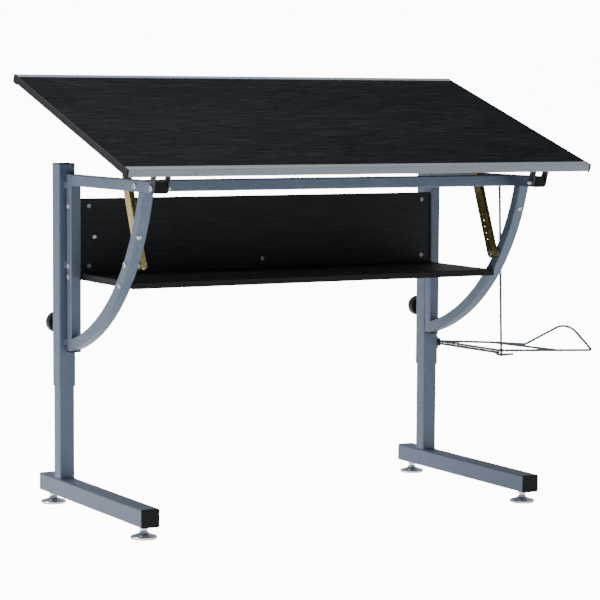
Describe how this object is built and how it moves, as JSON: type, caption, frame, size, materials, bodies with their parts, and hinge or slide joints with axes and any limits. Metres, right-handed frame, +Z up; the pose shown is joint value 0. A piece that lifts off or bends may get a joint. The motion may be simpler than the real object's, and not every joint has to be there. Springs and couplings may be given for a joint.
{
  "type": "drafting table",
  "caption": "Drafting table with a tilting board, ratchet stays, telescopic legs on levelling feet, a shelf with back panel, and a side wire rack.",
  "frame": {"origin": "centre of the bounding box on the floor", "axes": "+X along the board's long side towards the wire rack, +Y towards the back, +Z up"},
  "size_m": [1.2611, 0.6034, 0.9309],
  "materials": {
    "frame_paint": "blue-grey silver powder coat",
    "black_board": "black melamine with an embossed wood grain",
    "black_plastic": "moulded matt black",
    "rail_metal": "satin silver profile",
    "chrome": "polished chrome",
    "yellow_zinc": "yellow passivated zinc plate",
    "bright_zinc": "bright zinc plate",
    "wire_paint": "grey powder-coated wire"
  },
  "bodies": {
    "frame": {"arm_caps": "black_plastic", "back_panel": "black_board", "board_bolts": "bright_zinc", "bracket_arm_left": "frame_paint", "bracket_arm_right": "frame_paint", "bracket_curve_left": "frame_paint", "bracket_curve_right": "frame_paint", "bracket_tabs_left": "frame_paint", "bracket_tabs_right": "frame_paint", "bracket_upright_left": "frame_paint", "bracket_upright_right": "frame_paint", "clamp_bosses": "frame_paint", "cross_bar": "frame_paint", "cross_bar_bolts": "bright_zinc", "outer_post_left": "frame_paint", "outer_post_right": "frame_paint", "panel_cams": "bright_zinc", "post_cap_left": "black_plastic", "post_cap_right": "black_plastic", "rack_arms": "wire_paint", "rack_brace": "wire_paint", "rack_clip": "wire_paint", "rack_hanger": "wire_paint", "rack_loop": "wire_paint", "shelf": "black_board", "stay_pivots": "bright_zinc", "upright_caps": "black_plastic"},
    "left_leg": {"foot_caps_left": "black_plastic", "foot_left": "frame_paint", "inner_post_left": "frame_paint", "leveller_nuts_left": "chrome"},
    "right_leg": {"foot_caps_right": "black_plastic", "foot_right": "frame_paint", "inner_post_right": "frame_paint", "leveller_nuts_right": "chrome"},
    "board": {"board": "black_board", "bracket_screws": "bright_zinc", "edge_trims": "black_plastic", "front_rail": "rail_metal", "front_rail_caps": "black_plastic", "hinge_bracket_left": "frame_paint", "hinge_bracket_right": "frame_paint", "hinge_pins": "bright_zinc", "rear_rail": "rail_metal", "rear_rail_caps": "black_plastic", "stay_lug_left": "yellow_zinc", "stay_lug_right": "yellow_zinc"},
    "left_knob": {"clamp_screw_left": "bright_zinc", "clamp_knob_left": "black_plastic"},
    "left_front_leveller": {"leveller_left_front": "chrome"},
    "left_rear_leveller": {"leveller_left_rear": "chrome"},
    "left_channel": {"stay_channel_left": "yellow_zinc"},
    "left_slider": {"stay_slider_left": "yellow_zinc"},
    "right_knob": {"clamp_screw_right": "bright_zinc", "clamp_knob_right": "black_plastic"},
    "right_front_leveller": {"leveller_right_front": "chrome"},
    "right_rear_leveller": {"leveller_right_rear": "chrome"},
    "right_channel": {"stay_channel_right": "yellow_zinc"},
    "right_slider": {"stay_slider_right": "yellow_zinc"}
  },
  "joints": [
    {"name": "left_height", "type": "slide", "parent": "frame", "child": "left_leg", "axis": [0, 0, 1], "range_m": [-0.1, 0.15]},
    {"name": "left_clamp", "type": "hinge", "parent": "frame", "child": "left_knob", "pos_m": [-0.54103, 0.23866, 0.3985], "axis": [0, 1, 0], "range_deg": [0, 360]},
    {"name": "left_front_level", "type": "hinge", "parent": "left_leg", "child": "left_front_leveller", "pos_m": [-0.54103, -0.18834, 0.02], "axis": [0, 0, 1], "range_deg": [-360, 360]},
    {"name": "left_rear_level", "type": "hinge", "parent": "left_leg", "child": "left_rear_leveller", "pos_m": [-0.54103, 0.27166, 0.02], "axis": [0, 0, 1], "range_deg": [-360, 360]},
    {"name": "right_height", "type": "slide", "parent": "frame", "child": "right_leg", "axis": [0, 0, 1], "range_m": [-0.1, 0.15]},
    {"name": "right_clamp", "type": "hinge", "parent": "frame", "child": "right_knob", "pos_m": [0.37897, 0.23866, 0.3985], "axis": [0, 1, 0], "range_deg": [0, 360]},
    {"name": "right_front_level", "type": "hinge", "parent": "right_leg", "child": "right_front_leveller", "pos_m": [0.37897, -0.18834, 0.02], "axis": [0, 0, 1], "range_deg": [-360, 360]},
    {"name": "right_rear_level", "type": "hinge", "parent": "right_leg", "child": "right_rear_leveller", "pos_m": [0.37897, 0.27166, 0.02], "axis": [0, 0, 1], "range_deg": [-360, 360]},
    {"name": "board_tilt", "type": "hinge", "parent": "frame", "child": "board", "pos_m": [-0.08103, -0.24034, 0.706], "axis": [1, 0, 0], "range_deg": [-18, 22]},
    {"name": "left_stay_swing", "type": "hinge", "parent": "frame", "child": "left_channel", "pos_m": [-0.50853, -0.10734, 0.546], "axis": [1, 0, 0], "range_deg": [-12, 14.6]},
    {"name": "left_stay_pivot", "type": "hinge", "parent": "board", "child": "left_slider", "pos_m": [-0.50853, 0.00069, 0.81232], "axis": [1, 0, 0], "range_deg": [-7.5, 6.2]},
    {"name": "right_stay_swing", "type": "hinge", "parent": "frame", "child": "right_channel", "pos_m": [0.34647, -0.10734, 0.546], "axis": [1, 0, 0], "range_deg": [-12, 14.6]},
    {"name": "right_stay_pivot", "type": "hinge", "parent": "board", "child": "right_slider", "pos_m": [0.34647, 0.00069, 0.81232], "axis": [1, 0, 0], "range_deg": [-7.5, 6.2]}
  ],
  "couplings": [
    {"joint": "right_height", "follows": "left_height", "ratio": 1},
    {"joint": "left_stay_swing", "follows": "board_tilt", "ratio": 0.66},
    {"joint": "left_stay_pivot", "follows": "board_tilt", "ratio": -0.34},
    {"joint": "right_stay_swing", "follows": "board_tilt", "ratio": 0.66},
    {"joint": "right_stay_pivot", "follows": "board_tilt", "ratio": -0.34}
  ]
}
